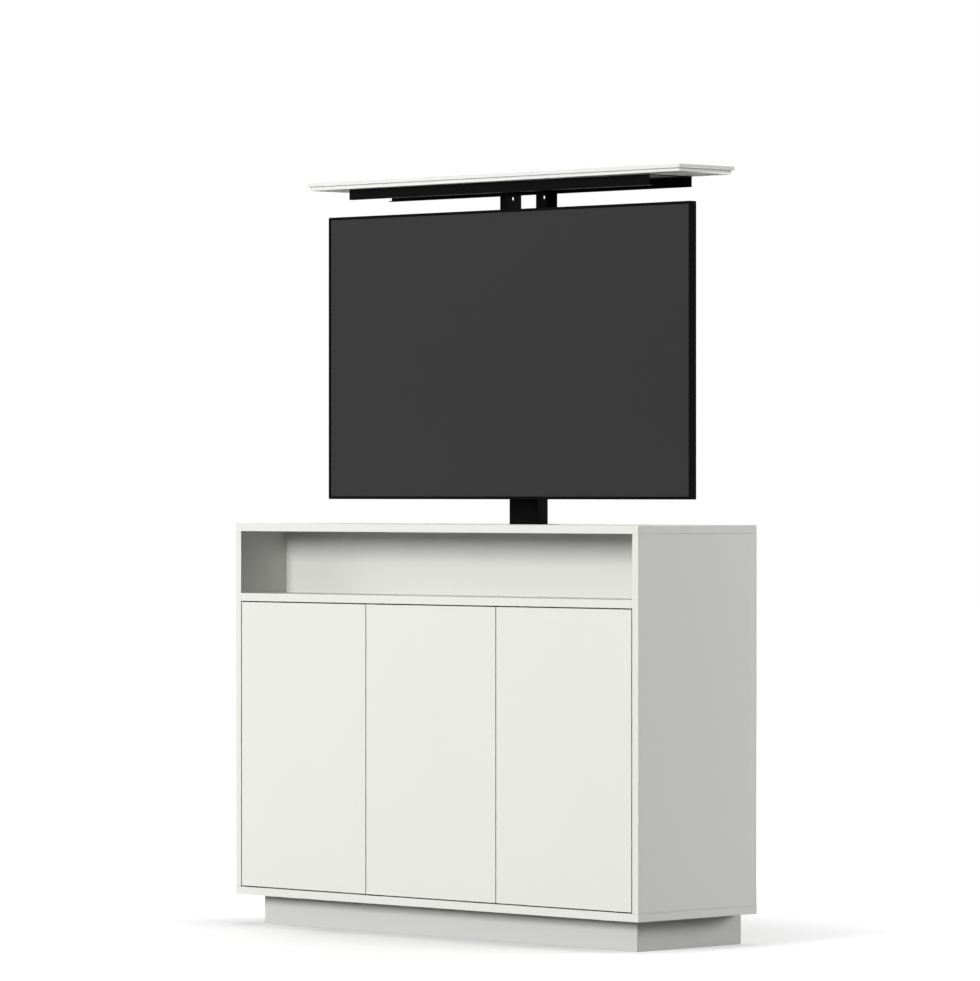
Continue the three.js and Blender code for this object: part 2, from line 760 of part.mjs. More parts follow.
function addControlBox() {
  const bottom = bottomBoardTop + jointGap;
  const x = -controlBoxOffset;
  const outline = rectangle(controlBoxWidth, controlBoxDepth, controlBoxCorner, x, columnCentre);
  const back = columnCentre + controlBoxDepth / 2;
  const middle = bottom + controlBoxHeight / 2;
  const inlet = box(
    [x - inletWidth / 2, back - inletDepth, middle - inletHeight / 2],
    [x + inletWidth / 2, back + cutOverrun, middle + inletHeight / 2],
  );
  const earsWidth = controlBoxWidth + 2 * controlBoxEar;
  const earOutline = rectangle(earsWidth, controlBoxEarDepth, controlBoxCorner, x, columnCentre);
  const ears = rise(earOutline, bottom, controlBoxEarThickness);
  const holes = [-1, 1].map((side) =>
    upright(
      controlBoxHoleRadius,
      bottom - cutOverrun,
      controlBoxEarThickness + 2 * cutOverrun,
      x + (side * (controlBoxWidth + controlBoxEar)) / 2,
      columnCentre,
      smallFaces,
    ),
  );
  const body = join(rise(outline, bottom, controlBoxHeight), [ears]);
  add("control_box", cut(body, [inlet, ...holes]), blackPlastic());
}

// Head plate on the inner tube and the two channels that stand on it and carry the tray.
// The channels' webs face each other, with a hole in each, and their flanges point outwards.
function addUprights() {
  const half = uprightSpan / 2;
  const front = columnCentre - uprightDepth / 2;
  const back = columnCentre + uprightDepth / 2;
  add("head_plate", box([-half, front, headPlateBottom], [half, back, headPlateTop]), blackSteel());
  const bottom = headPlateTop + jointGap;
  for (const [name, side] of [["left_upright", -1], ["right_upright", 1]]) {
    const outline = new THREE.Shape();
    const web = half - uprightFlange;
    outline.moveTo(side * web, front);
    outline.lineTo(side * half, front);
    outline.lineTo(side * half, front + uprightWall);
    outline.lineTo(side * (web + uprightWall), front + uprightWall);
    outline.lineTo(side * (web + uprightWall), back - uprightWall);
    outline.lineTo(side * half, back - uprightWall);
    outline.lineTo(side * half, back);
    outline.lineTo(side * web, back);
    outline.closePath();
    const hole = across(
      uprightHoleRadius,
      side * (web + uprightWall / 2) - uprightWall / 2 - cutOverrun,
      uprightWall + 2 * cutOverrun,
      columnCentre,
      trayWebBottom - uprightHoleDrop,
      roundFaces,
    );
    add(name, cut(rise(outline, bottom, trayWebBottom - jointGap - bottom), [hole]), blackSteel());
  }
}

// Steel tray under the lid: an upside-down channel with small lips on its lower edges.
// The back lip is notched where the uprights pass it.
function addTrayAndLid() {
  const back = trayFront + trayDepth;
  const bottom = trayTop - trayHeight;
  const outline = new THREE.Shape();
  outline.moveTo(trayFront, bottom);
  outline.lineTo(trayFront + trayLip, bottom);
  outline.lineTo(trayFront + trayLip, bottom + trayWall);
  outline.lineTo(trayFront + trayWall, bottom + trayWall);
  outline.lineTo(trayFront + trayWall, trayWebBottom);
  outline.lineTo(back - trayWall, trayWebBottom);
  outline.lineTo(back - trayWall, bottom + trayWall);
  outline.lineTo(back - trayLip, bottom + trayWall);
  outline.lineTo(back - trayLip, bottom);
  outline.lineTo(back, bottom);
  outline.lineTo(back, trayTop);
  outline.lineTo(trayFront, trayTop);
  outline.closePath();
  const holes = [];
  for (const share of trayScrewShares) {
    for (const y of [trayFront + trayScrewHoleInset, back - trayScrewHoleInset]) {
      const x = (share - 1 / 2) * trayLength;
      const low = trayWebBottom - cutOverrun;
      holes.push(upright(trayScrewHoleRadius, low, trayWall + 2 * cutOverrun, x, y, smallFaces));
    }
  }
  const notches = [-1, 1].map((side) => {
    const middle = (side * (uprightSpan - uprightFlange)) / 2;
    const reach = uprightFlange / 2 + trayNotchClearance;
    return box(
      [middle - reach, back - trayLip - cutOverrun, bottom - cutOverrun],
      [middle + reach, back - trayWall, bottom + trayWall + cutOverrun],
    );
  });
  const tray = runAlongX(outline, -trayLength / 2, trayLength / 2);
  add("lid_tray", cut(tray, [...holes, ...notches]), blackSteel());
  const half = lidLength / 2;
  const lip = box(
    [-half, lidFront, lidPlugBottom + lidPlugThickness],
    [half, lidFront + lidDepth, lidTop],
  );
  const plug = box(
    [-half + lidOverlap, lidFront + lidOverlap, lidPlugBottom],
    [half - lidOverlap, lidFront + lidDepth - lidOverlap, lidTop - lidLipThickness / 2],
  );
  add("lid", join(lip, [plug]), whiteBoard());
}

// The screen's mount: a rail on the uprights and two arms that hang from it behind the screen
function addScreenMount() {
  const armFront = screenFront + frameDepth + jointGap + rearBulgeDepth + armGap;
  const armBack = armFront + armDepth;
  const railFront = armBack + armGap;
  const railBack = columnCentre - uprightDepth / 2 - jointGap;
  const railBottom = headPlateTop + railRise;
  const outline = new THREE.Shape();
  outline.moveTo(railFront, railBottom);
  outline.lineTo(railBack, railBottom);
  outline.lineTo(railBack, railBottom + railWall);
  outline.lineTo(railFront + railWall, railBottom + railWall);
  outline.lineTo(railFront + railWall, railBottom + railHeight - railWall);
  outline.lineTo(railBack, railBottom + railHeight - railWall);
  outline.lineTo(railBack, railBottom + railHeight);
  outline.lineTo(railFront, railBottom + railHeight);
  outline.closePath();
  const railHoles = [];
  for (let count = 0; count < railHoleCount; count += 1) {
    const x = (count - (railHoleCount - 1) / 2) * railHolePitch;
    const z = railBottom + railHeight / 2;
    railHoles.push(lying(railHoleRadius, railFront - cutOverrun, railWall + 2 * cutOverrun, x, z));
  }
  const rail = runAlongX(outline, -railLength / 2, railLength / 2);
  add("mount_rail", cut(rail, railHoles), blackSteel());
  const armBottom = screenMiddle - wallMountPitch / 2 - armTail;
  for (const [name, side] of [["left_arm", -1], ["right_arm", 1]]) {
    const middle = (side * wallMountPitch) / 2;
    const half = armWidth / 2;
    const channel = new THREE.Shape();
    channel.moveTo(middle - half, armFront);
    channel.lineTo(middle + half, armFront);
    channel.lineTo(middle + half, armBack);
    channel.lineTo(middle + half - armWall, armBack);
    channel.lineTo(middle + half - armWall, armFront + armWall);
    channel.lineTo(middle - half + armWall, armFront + armWall);
    channel.lineTo(middle - half + armWall, armBack);
    channel.lineTo(middle - half, armBack);
    channel.closePath();
    const holes = [];
    for (let count = 0; count < armHoleCount; count += 1) {
      const z = screenMiddle + (count - (armHoleCount - 1) / 2) * armHolePitch;
      holes.push(lying(armHoleRadius, armFront - cutOverrun, armWall + 2 * cutOverrun, middle, z));
    }
    const arm = rise(channel, armBottom, railBottom + railHeight - armBottom);
    add(name, cut(arm, holes), blackSteel());
  }
}

function addScreen() {
  const ring = rectangle(frameWidth, frameHeight, frameCornerRadius, 0, screenMiddle);
  ring.holes.push(rectangle(screenWidth, screenHeight, 0, 0, screenMiddle, new THREE.Path()));
  const halfWidth = screenWidth / 2 - glideClearance;
  const halfHeight = screenHeight / 2 - glideClearance;
  const panelFront = screenFront + bezelStep;
  const panelBack = panelFront + panelThickness;
  const ledgeWidth = screenWidth / 2 + rearSheetOverlap;
  const ledgeHeight = screenHeight / 2 + rearSheetOverlap;
  const rebate = box(
    [-ledgeWidth, panelBack, screenMiddle - ledgeHeight],
    [ledgeWidth, screenFront + frameDepth + cutOverrun, screenMiddle + ledgeHeight],
  );
  add("screen_frame", cut(runBack(ring, screenFront, frameDepth), [rebate]), blackPlastic());
  const panel = box(
    [-halfWidth, panelFront, screenMiddle - halfHeight],
    [halfWidth, panelBack, screenMiddle + halfHeight],
  );
  add("screen_panel", panel, screenGlass());
  const sheetFront = panelBack + jointGap;
  const sheetWidth = ledgeWidth - glideClearance;
  const sheetHeight = ledgeHeight - glideClearance;
  const sheet = box(
    [-sheetWidth, sheetFront, screenMiddle - sheetHeight],
    [sheetWidth, sheetFront + rearSheetThickness, screenMiddle + sheetHeight],
  );
  const bulgeWidth = frameWidth * rearBulgeWidthShare;
  const bulgeHeight = frameHeight * rearBulgeHeightShare;
  const bulgeBottom = screenMiddle - frameHeight / 2 + rearBulgeDrop;
  const bulgeMiddle = bulgeBottom + bulgeHeight / 2;
  const bulgeBack = screenFront + frameDepth + rearBulgeDepth;
  const bulge = slopedBox(
    bulgeWidth,
    bulgeHeight,
    rearBulgeSlope,
    bulgeMiddle,
    sheetFront + rearSheetThickness / 2,
    bulgeBack,
  );
  const pocket = slopedBox(
    bulgeWidth - 2 * rearBulgeWall,
    bulgeHeight - 2 * rearBulgeWall,
    rearBulgeSlope,
    bulgeMiddle,
    sheetFront - cutOverrun,
    bulgeBack - rearBulgeWall,
  );
  const vents = [];
  for (let row = 0; row < rearVentCount; row += 1) {
    const x = (row - (rearVentCount - 1) / 2) * rearVentPitch;
    const top = bulgeBottom + bulgeHeight - rearVentDrop;
    vents.push(
      box(
        [x - rearVentWidth / 2, bulgeBack - rearVentDepth, top - rearVentLength],
        [x + rearVentWidth / 2, bulgeBack + cutOverrun, top],
      ),
    );
  }
  const bayBottom = bulgeBottom + portBayRise;
  const bayLeft = portBayOffset - portBayWidth / 2;
  const bayRight = portBayOffset + portBayWidth / 2;
  const bayTop = bayBottom + portBayHeight;
  const bay = box(
    [bayLeft, bulgeBack - portBayDepth, bayBottom],
    [bayRight, bulgeBack + cutOverrun, bayTop],
  );
  const bayWalls = box(
    [bayLeft - rearBulgeWall, bulgeBack - portBayDepth - rearBulgeWall, bayBottom - rearBulgeWall],
    [bayRight + rearBulgeWall, bulgeBack - rearBulgeWall / 2, bayTop + rearBulgeWall],
  );
  const shell = cut(join(sheet, [bulge]), [pocket]);
  add("screen_rear_cover", cut(join(shell, [bayWalls]), [bay, ...vents]), blackPlastic());
}

// A box between two y planes whose four sides lean in towards its back face
function slopedBox(width, height, slope, middle, front, back) {
  const shape = new THREE.BoxGeometry(width, back - front, height);
  const place = shape.attributes.position;
  const half = (back - front) / 2;
  for (let index = 0; index < place.count; index += 1) {
    if (place.getY(index) < half / 2) continue;
    place.setX(index, place.getX(index) - Math.sign(place.getX(index)) * slope);
    place.setZ(index, place.getZ(index) - Math.sign(place.getZ(index)) * slope);
  }
  return shape.translate(0, front + half, middle);
}

addPlinth();
addCarcass();
addInnerBoards();
for (const index of doorIndexes) {
  addDoor(index);
  addLatch(index);
}
addDrive();
addColumn();
addSpindles();
addControlBox();
addUprights();
addTrayAndLid();
addScreenMount();
addScreen();

export default model;
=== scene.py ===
# The looks of the TV lift cabinet: softened pieces, small fittings, materials, floor, lights and camera.
# Metres, +Z up, the front of the cabinet faces -Y.
import json
import math

import bmesh
import bpy
from mathutils import Matrix, Vector


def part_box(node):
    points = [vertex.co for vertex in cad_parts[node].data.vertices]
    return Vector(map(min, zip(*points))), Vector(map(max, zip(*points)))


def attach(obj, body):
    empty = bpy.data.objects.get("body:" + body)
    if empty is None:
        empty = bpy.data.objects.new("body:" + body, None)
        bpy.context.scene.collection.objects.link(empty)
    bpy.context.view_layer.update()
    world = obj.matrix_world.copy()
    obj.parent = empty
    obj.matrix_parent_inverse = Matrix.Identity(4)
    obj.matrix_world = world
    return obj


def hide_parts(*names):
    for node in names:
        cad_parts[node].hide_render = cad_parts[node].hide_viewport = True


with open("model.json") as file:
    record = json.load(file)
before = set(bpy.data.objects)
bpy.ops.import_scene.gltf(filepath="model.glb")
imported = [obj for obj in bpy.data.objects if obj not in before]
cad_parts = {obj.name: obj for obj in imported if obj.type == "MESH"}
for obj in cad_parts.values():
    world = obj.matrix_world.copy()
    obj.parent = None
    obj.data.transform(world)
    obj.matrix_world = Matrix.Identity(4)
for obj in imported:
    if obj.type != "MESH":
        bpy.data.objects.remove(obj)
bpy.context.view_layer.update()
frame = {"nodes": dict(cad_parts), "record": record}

millimetre = 0.001
rightwards = (1.0, 0.0, 0.0)
leftwards = (-1.0, 0.0, 0.0)
backwards = (0.0, 1.0, 0.0)
forwards = (0.0, -1.0, 0.0)
upwards = (0.0, 0.0, 1.0)
downwards = (0.0, 0.0, -1.0)
door_numbers = (1, 2, 3)


def in_metres(*lengths):
    return tuple(length * millimetre for length in lengths)


def centre_of(low, high):
    return [(first + last) / 2.0 for first, last in zip(low, high)]


# Steps of a node tree

noise_span = (0.3, 0.7)
smooth_detail = 1.0
plain_detail = 2.0
rich_detail = 3.0


def opaque(colour):
    return (*colour, 1.0)


def scaled(colour, share):
    return tuple(channel * share for channel in colour)


def feed(tree, socket, value):
    if isinstance(value, bpy.types.NodeSocket):
        tree.links.new(value, socket)
    else:
        socket.default_value = value


def arithmetic(tree, operation, *values):
    step = tree.nodes.new("ShaderNodeMath")
    step.operation = operation
    for socket, value in zip(step.inputs, values):
        feed(tree, socket, value)
    return step.outputs["Value"]


def remapped(tree, value, source, target):
    span = tree.nodes.new("ShaderNodeMapRange")
    span.inputs["From Min"].default_value, span.inputs["From Max"].default_value = source
    span.inputs["To Min"].default_value, span.inputs["To Max"].default_value = target
    feed(tree, span.inputs["Value"], value)
    return span.outputs["Result"]


def mixed(tree, factor, first, second):
    mix = tree.nodes.new("ShaderNodeMixRGB")
    feed(tree, mix.inputs["Fac"], factor)
    feed(tree, mix.inputs["Color1"], first)
    feed(tree, mix.inputs["Color2"], second)
    return mix.outputs["Color"]


def picked_shader(tree, factor, first, second):
    pick = tree.nodes.new("ShaderNodeMixShader")
    feed(tree, pick.inputs["Fac"], factor)
    feed(tree, pick.inputs[1], first)
    feed(tree, pick.inputs[2], second)
    return pick.outputs["Shader"]


def axes(tree, source):
    place = tree.nodes.new("ShaderNodeTexCoord")
    parts = tree.nodes.new("ShaderNodeSeparateXYZ")
    tree.links.new(place.outputs[source], parts.inputs["Vector"])
    return parts.outputs


def noise(tree, scale, detail=plain_detail, squeeze=(1.0, 1.0, 1.0)):
    place = tree.nodes.new("ShaderNodeTexCoord")
    spread = tree.nodes.new("ShaderNodeMapping")
    spread.inputs["Scale"].default_value = squeeze
    texture = tree.nodes.new("ShaderNodeTexNoise")
    texture.inputs["Scale"].default_value = scale
    texture.inputs["Detail"].default_value = detail
    tree.links.new(place.outputs["Object"], spread.inputs["Vector"])
    tree.links.new(spread.outputs["Vector"], texture.inputs["Vector"])
    return texture.outputs["Fac"]


# Steps of a surface, each on the material's one shader

def new_material(name, colour, roughness, metallic=0.0, specular=0.5):
    material = bpy.data.materials.new(name)
    material.use_nodes = True
    shader = material.node_tree.nodes["Principled BSDF"]
    shader.inputs["Base Color"].default_value = opaque(colour)
    shader.inputs["Roughness"].default_value = roughness
    shader.inputs["Metallic"].default_value = metallic
    shader.inputs["Specular IOR Level"].default_value = specular
    return material, material.node_tree, shader


def shade(tree, shader, factor, colour, dark_share, light_share=1.0):
    ramp = tree.nodes.new("ShaderNodeValToRGB")
    first, last = ramp.color_ramp.elements
    first.position, last.position = noise_span
    first.color = opaque(scaled(colour, dark_share))
    last.color = opaque(scaled(colour, light_share))
    tree.links.new(factor, ramp.inputs["Fac"])
    tree.links.new(ramp.outputs["Color"], shader.inputs["Base Color"])


def sheen(tree, shader, factor, lowest, highest):
    tree.links.new(remapped(tree, factor, noise_span, (lowest, highest)), shader.inputs["Roughness"])


def relief(tree, shader, height, depth):
    bump = tree.nodes.new("ShaderNodeBump")
    bump.inputs["Strength"].default_value = 1.0
    bump.inputs["Distance"].default_value = depth
    tree.links.new(height, bump.inputs["Height"])
    tree.links.new(bump.outputs["Normal"], shader.inputs["Normal"])


# Sprayed lacquer: faint clouds, an uneven sheen and a fine orange peel

lacquer_roughness = 0.4
lacquer_cloud_scale = 2.5
lacquer_dark_share = 0.985
lacquer_sheen_scale = 60.0
lacquer_sheen_span = (0.36, 0.46)
lacquer_peel_scale = 420.0
lacquer_peel_depth = 0.03 * millimetre


def lacquer(name, colour):
    material, tree, shader = new_material(name, colour, lacquer_roughness)
    shade(tree, shader, noise(tree, lacquer_cloud_scale, rich_detail), colour, lacquer_dark_share)
    sheen(tree, shader, noise(tree, lacquer_sheen_scale), *lacquer_sheen_span)
    relief(tree, shader, noise(tree, lacquer_peel_scale, smooth_detail), lacquer_peel_depth)
    return material


# Printed board, dull and finely grained, also used as painted shade on board undersides

board_roughness = 0.6
board_cloud_scale = 6.0
board_dark_share = 0.97
board_grain_scale = 900.0
board_grain_depth = 0.04 * millimetre


def printed_board(name, colour):
    material, tree, shader = new_material(name, colour, board_roughness)
    shade(tree, shader, noise(tree, board_cloud_scale, rich_detail), colour, board_dark_share)
    relief(tree, shader, noise(tree, board_grain_scale), board_grain_depth)
    return material


# Powder coat: a fine grain in shade and relief

coat_roughness = 0.5
coat_grain_scale = 1100.0
coat_shade_shares = (0.8, 1.2)
coat_sheen_scale = 45.0
coat_sheen_span = (0.45, 0.56)
coat_depth = 0.05 * millimetre


def powder_coat(name, colour, specular):
    material, tree, shader = new_material(name, colour, coat_roughness, specular=specular)
    grain = noise(tree, coat_grain_scale)
    shade(tree, shader, grain, colour, *coat_shade_shares)
    sheen(tree, shader, noise(tree, coat_sheen_scale), *coat_sheen_span)
    relief(tree, shader, grain, coat_depth)
    return material


# Moulded plastic with an eroded surface

moulded_roughness = 0.55
moulded_grain_scale = 2200.0
moulded_shade_shares = (0.88, 1.12)
moulded_sheen_scale = 90.0
moulded_smoother = 0.05
moulded_rougher = 0.06
moulded_depth = 0.03 * millimetre


def moulded(name, colour, specular, roughness=moulded_roughness):
    material, tree, shader = new_material(name, colour, roughness, specular=specular)
    grain = noise(tree, moulded_grain_scale, smooth_detail)
    shade(tree, shader, grain, colour, *moulded_shade_shares)
    spots = noise(tree, moulded_sheen_scale)
    sheen(tree, shader, spots, roughness - moulded_smoother, roughness + moulded_rougher)
    relief(tree, shader, grain, moulded_depth)
    return material


# The display: a matt panel with painted shade, darker towards its foot, and a black border inside its frame

border_side = 2.0 * millimetre
border_end = 0.7 * millimetre
border_black = (0.003, 0.003, 0.003)
painted_shade_foot_share = 0.82
painted_shade_head_share = 0.98
glass_roughness = 0.3
glass_sheen_scale = 3000.0
glass_sheen_span = (0.27, 0.37)
glass_grain_scale = 3500.0
glass_grain_depth = 0.006 * millimetre


# One where the coordinate lies farther than half a width from the middle, else nought
def beyond(tree, coordinate, middle, half):
    shift = arithmetic(tree, "SUBTRACT", coordinate, middle)
    return arithmetic(tree, "GREATER_THAN", arithmetic(tree, "ABSOLUTE", shift), half)


def display_border(tree, place):
    low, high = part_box("screen_panel")
    middle = centre_of(low, high)
    sides = beyond(tree, place["X"], middle[0], (high[0] - low[0]) / 2.0 - border_side)
    ends = beyond(tree, place["Z"], middle[2], (high[2] - low[2]) / 2.0 - border_end)
    return arithmetic(tree, "MAXIMUM", sides, ends)


def display_glass(name, colour, specular):
    material, tree, shader = new_material(name, colour, glass_roughness, specular=specular)
    place = axes(tree, "Object")
    low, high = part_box("screen_panel")
    # Painted shade: the panel's colour runs darker from its head to its foot
    rise = remapped(tree, place["Z"], (low[2], high[2]), (0.0, 1.0))
    foot, head = scaled(colour, painted_shade_foot_share), scaled(colour, painted_shade_head_share)
    panel = mixed(tree, rise, opaque(foot), opaque(head))
    face = mixed(tree, display_border(tree, place), panel, opaque(border_black))
    tree.links.new(face, shader.inputs["Base Color"])
    sheen(tree, shader, noise(tree, glass_sheen_scale, smooth_detail), *glass_sheen_span)
    relief(tree, shader, noise(tree, glass_grain_scale, smooth_detail), glass_grain_depth)
    return material


# Brushed steel: fine lines, from noise that is squeezed along one axis

brush_scale = 260.0
brush_dark_share = 0.86
brush_smoother = 0.08
brush_rougher = 0.1
brush_depth = 0.01 * millimetre


def brushed(name, colour, roughness, squeeze):
    material, tree, shader = new_material(name, colour, roughness, metallic=1.0)
    lines = noise(tree, brush_scale, rich_detail, squeeze)
    shade(tree, shader, lines, colour, brush_dark_share)
    sheen(tree, shader, lines, roughness - brush_smoother, roughness + brush_rougher)
    relief(tree, shader, lines, brush_depth)
    return material


# Die-cast metal with a pitted skin

cast_roughness = 0.55
pitting_scale = 700.0
pitting_shade_shares = (0.8, 1.08)
cast_sheen_scale = 120.0
cast_sheen_span = (0.48, 0.64)
pitting_depth = 0.06 * millimetre


def cast(name, colour):
    material, tree, shader = new_material(name, colour, cast_roughness, metallic=1.0)
    pitting = noise(tree, pitting_scale, rich_detail)
    shade(tree, shader, pitting, colour, *pitting_shade_shares)
    sheen(tree, shader, noise(tree, cast_sheen_scale), *cast_sheen_span)
    relief(tree, shader, pitting, pitting_depth)
    return material


# The materials

white = lacquer("white_lacquer", (0.86, 0.86, 0.82))
lid_white = lacquer("lid_lacquer", (0.88, 0.88, 0.86))
# Painted shade: a dull dark board colour for the undersides of the top board and the lid
underside_shade = printed_board("underside_painted_shade", (0.5, 0.5, 0.485))
# Painted shade: a darker copy of the white lacquer for the boards' inner faces
lining_shade = lacquer("lining_painted_shade", (0.665, 0.665, 0.643))
# Painted shade: a darker copy of the white lacquer for the partition at the niche's back
partition_shade = lacquer("partition_painted_shade", (0.69, 0.69, 0.664))
# The plinth gets a darker copy of the white lacquer
plinth_white = lacquer("plinth_darker_white", (0.68, 0.68, 0.656))
off_white = printed_board("back_board_face", (0.78, 0.78, 0.745))
black_paint = powder_coat("black_powder_coat", (0.0032, 0.0032, 0.0032), specular=0.03)
black_plastic = moulded("black_moulding", (0.0026, 0.0026, 0.0027), specular=0.03)
rear_plastic = moulded("rear_cover_moulding", (0.0115, 0.0115, 0.012), specular=0.12)
mount_paint = powder_coat("mount_powder_coat", (0.014, 0.014, 0.0143), specular=0.15)
display = display_glass("dark_display", (0.033, 0.033, 0.033), specular=0.1)
steel = brushed("bright_steel", (0.62, 0.63, 0.64), roughness=0.3, squeeze=(1.0, 1.0, 12.0))
browned_steel = brushed("browned_steel", (0.035, 0.035, 0.036), roughness=0.45, squeeze=(1.0, 1.0, 6.0))
metal = cast("die_cast_metal", (0.4, 0.41, 0.42))
soft_dot = moulded("soft_dot", (0.42, 0.42, 0.42), specular=0.3, roughness=0.4)


# Softened pieces

flat_angle = math.radians(0.5)
edge_angle = math.radians(32.0)
weld_distance = 0.002 * millimetre
edge_segments = 2


def whole_faces(node):
    source = frame["nodes"][node].data
    shape = bmesh.new()
    corners = [shape.verts.new(vertex.co) for vertex in source.vertices]
    shape.verts.index_update()
    for triangle in source.polygons:
        shape.faces.new([corners[index] for index in triangle.vertices])
    bmesh.ops.remove_doubles(shape, verts=shape.verts, dist=weld_distance)
    bmesh.ops.dissolve_limit(
        shape,
        angle_limit=flat_angle,
        verts=shape.verts,
        edges=shape.edges,
        delimit={"NORMAL"},
    )
    return shape


def piece_from(shape, name, material):
    mesh = bpy.data.meshes.new(name)
    shape.to_mesh(mesh)
    shape.free()
    mesh.materials.append(material)
    mesh.shade_smooth()
    mesh.set_sharp_from_angle(angle=edge_angle)
    piece = bpy.data.objects.new(name, mesh)
    bpy.context.scene.collection.objects.link(piece)
    return piece


def soften(piece, radius):
    edges = piece.modifiers.new("soft_edges", "BEVEL")
    edges.width = radius
    edges.segments = edge_segments
    edges.limit_method = "ANGLE"
    edges.angle_limit = edge_angle
    edges.harden_normals = True


lid_edge = 0.3 * millimetre
plug_rim = 3.0 * millimetre
plug_rim_segments = 3
face_tolerance = 1.0 * millimetre


# The lid's lower rim is rounded most, its top and front edges a little, the corner under its lip not at all
def soften_lid(piece):
    low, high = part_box("lid")
    bottom, top, front = low[2] + face_tolerance, high[2] - face_tolerance, low[1] + face_tolerance
    weights = piece.data.attributes.new("bevel_weight_edge", "FLOAT", "EDGE")
    for edge in piece.data.edges:
        ends = [piece.data.vertices[index].co for index in edge.vertices]
        if max(point.z for point in ends) < bottom:
            weights.data[edge.index].value = 1.0
        elif any(point.z > top or point.y < front for point in ends):
            weights.data[edge.index].value = lid_edge / plug_rim
    edges = piece.modifiers.new("soft_edges", "BEVEL")
    edges.width = plug_rim
    edges.segments = plug_rim_segments
    edges.limit_method = "WEIGHT"
    edges.harden_normals = True


# Inner faces and undersides of the boards get darker copies of the white as painted shade, while the rest
# of each board is lacquered

shaded_face_share = 0.9
dark_underside_nodes = ("lid", "top_board")
shaded_faces = {
    "left_side": (rightwards,),
    "right_side": (leftwards,),
    "top_board": (downwards,),
    "bottom_board": (upwards,),
    "niche_floor": (upwards, downwards),
    "standing_board_1": (rightwards, leftwards),
    "standing_board_2": (rightwards, leftwards),
    "shelf_1": (upwards, downwards),
    "shelf_2": (upwards, downwards),
    "shelf_3": (upwards, downwards),
    "lid": (downwards,),
}


# Painted shade: inner faces get the darker lining colour, and the undersides of the top board and lid the
# dark board colour
def paint_inner_shade(piece, node):
    piece.data.materials.append(underside_shade if node in dark_underside_nodes else lining_shade)
    for face in piece.data.polygons:
        if any(face.normal.dot(Vector(inward)) > shaded_face_share for inward in shaded_faces[node]):
            face.material_index = 1


def dress(node, body, material, radius):
    piece = piece_from(whole_faces(node), node + "_shown", material)
    if node in shaded_faces:
        paint_inner_shade(piece, node)
    if node == "lid":
        soften_lid(piece)
    else:
        soften(piece, radius)
    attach(piece, body)
    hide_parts(node)


# The material and the edge radius of each slot, and of the nodes that differ from their slot

board_edge = 0.8 * millimetre
thin_edge = 0.3 * millimetre
steel_edge = 0.5 * millimetre
moulded_edge = 0.6 * millimetre
cast_edge = 1.0 * millimetre

slot_finish = {
    "white_board": (white, board_edge),
    "back_board": (off_white, thin_edge),
    "black_steel": (black_paint, steel_edge),
    "black_plastic": (black_plastic, moulded_edge),
    "bright_steel": (steel, thin_edge),
    "cast_metal": (metal, cast_edge),
    "screen": (display, thin_edge),
}
plinth_nodes = ("plinth_front", "plinth_left", "plinth_right", "plinth_back")
mount_nodes = ("mount_rail", "left_arm", "right_arm", "head_plate")
leaf_nodes = [
    "door_%d_%s_%s_leaf" % (door, end, owner)
    for door in door_numbers
    for end in ("top", "bottom")
    for owner in ("door", "frame")
]
own_finish = {
    "screen_rear_cover": (rear_plastic, moulded_edge),
    **{node: (mount_paint, steel_edge) for node in mount_nodes},
    **{node: (browned_steel, thin_edge) for node in leaf_nodes},
    "partition": (partition_shade, board_edge),
    "lid": (lid_white, lid_edge),
    **{node: (plinth_white, board_edge) for node in plinth_nodes},
}


def dress_all():
    slots = {part["node"]: part["material_slot"] for part in frame["record"]["subparts"]}
    for body, nodes in frame["record"]["behaviour"]["bodies"].items():
        for node in nodes:
            slot = slots[node]
            material, radius = own_finish.get(node, slot_finish[slot])
            dress(node, body, material, radius)


# Outlines and lofts for the small fittings

round_sides = 16
cross_arm_share = 0.28


def circle(radius, sides=round_sides):
    angles = [2.0 * math.pi * step / sides for step in range(sides)]
    return [(radius * math.cos(angle), radius * math.sin(angle)) for angle in angles]


def hexagon(radius):
    return circle(radius, 6)


def cross(reach):
    half = reach * cross_arm_share
    quarter = [(reach, -half), (reach, half), (half, half)]
    outline = []
    for _ in range(4):
        outline += quarter
        quarter = [(-y, x) for x, y in quarter]
    return outline


def rectangle(width, height):
    right, top = width / 2.0, height / 2.0
    return [(right, -top), (right, top), (-right, top), (-right, -top)]


def facing(point, outward):
    turn = Vector(outward).to_track_quat("Z", "Y").to_matrix().to_4x4()
    return Matrix.Translation(point) @ turn


def loop_of(shape, outline, level, place):
    return [shape.verts.new(place @ Vector((x, y, level))) for x, y in outline]


def wall(shape, low, high):
    for index in range(len(low)):
        after = (index + 1) % len(low)
        shape.faces.new((low[index], low[after], high[after], high[index]))


# A solid form through a row of outlines with their levels, capped at both ends or closed into a ring
def loft(shape, rows, place, closed=False):
    loops = [loop_of(shape, outline, level, place) for outline, level in rows]
    for low, high in zip(loops, loops[1:]):
        wall(shape, low, high)
    if closed:
        wall(shape, loops[-1], loops[0])
    else:
        shape.faces.new(loops[0])
        shape.faces.new(loops[-1])


# The rows of a round form, from a profile of radii and levels in millimetres
def turned(profile, sides):
    return [(circle(radius * millimetre, sides), level * millimetre) for radius, level in profile]


# Screws: head radius, head height, shank radius and shank length of each kind

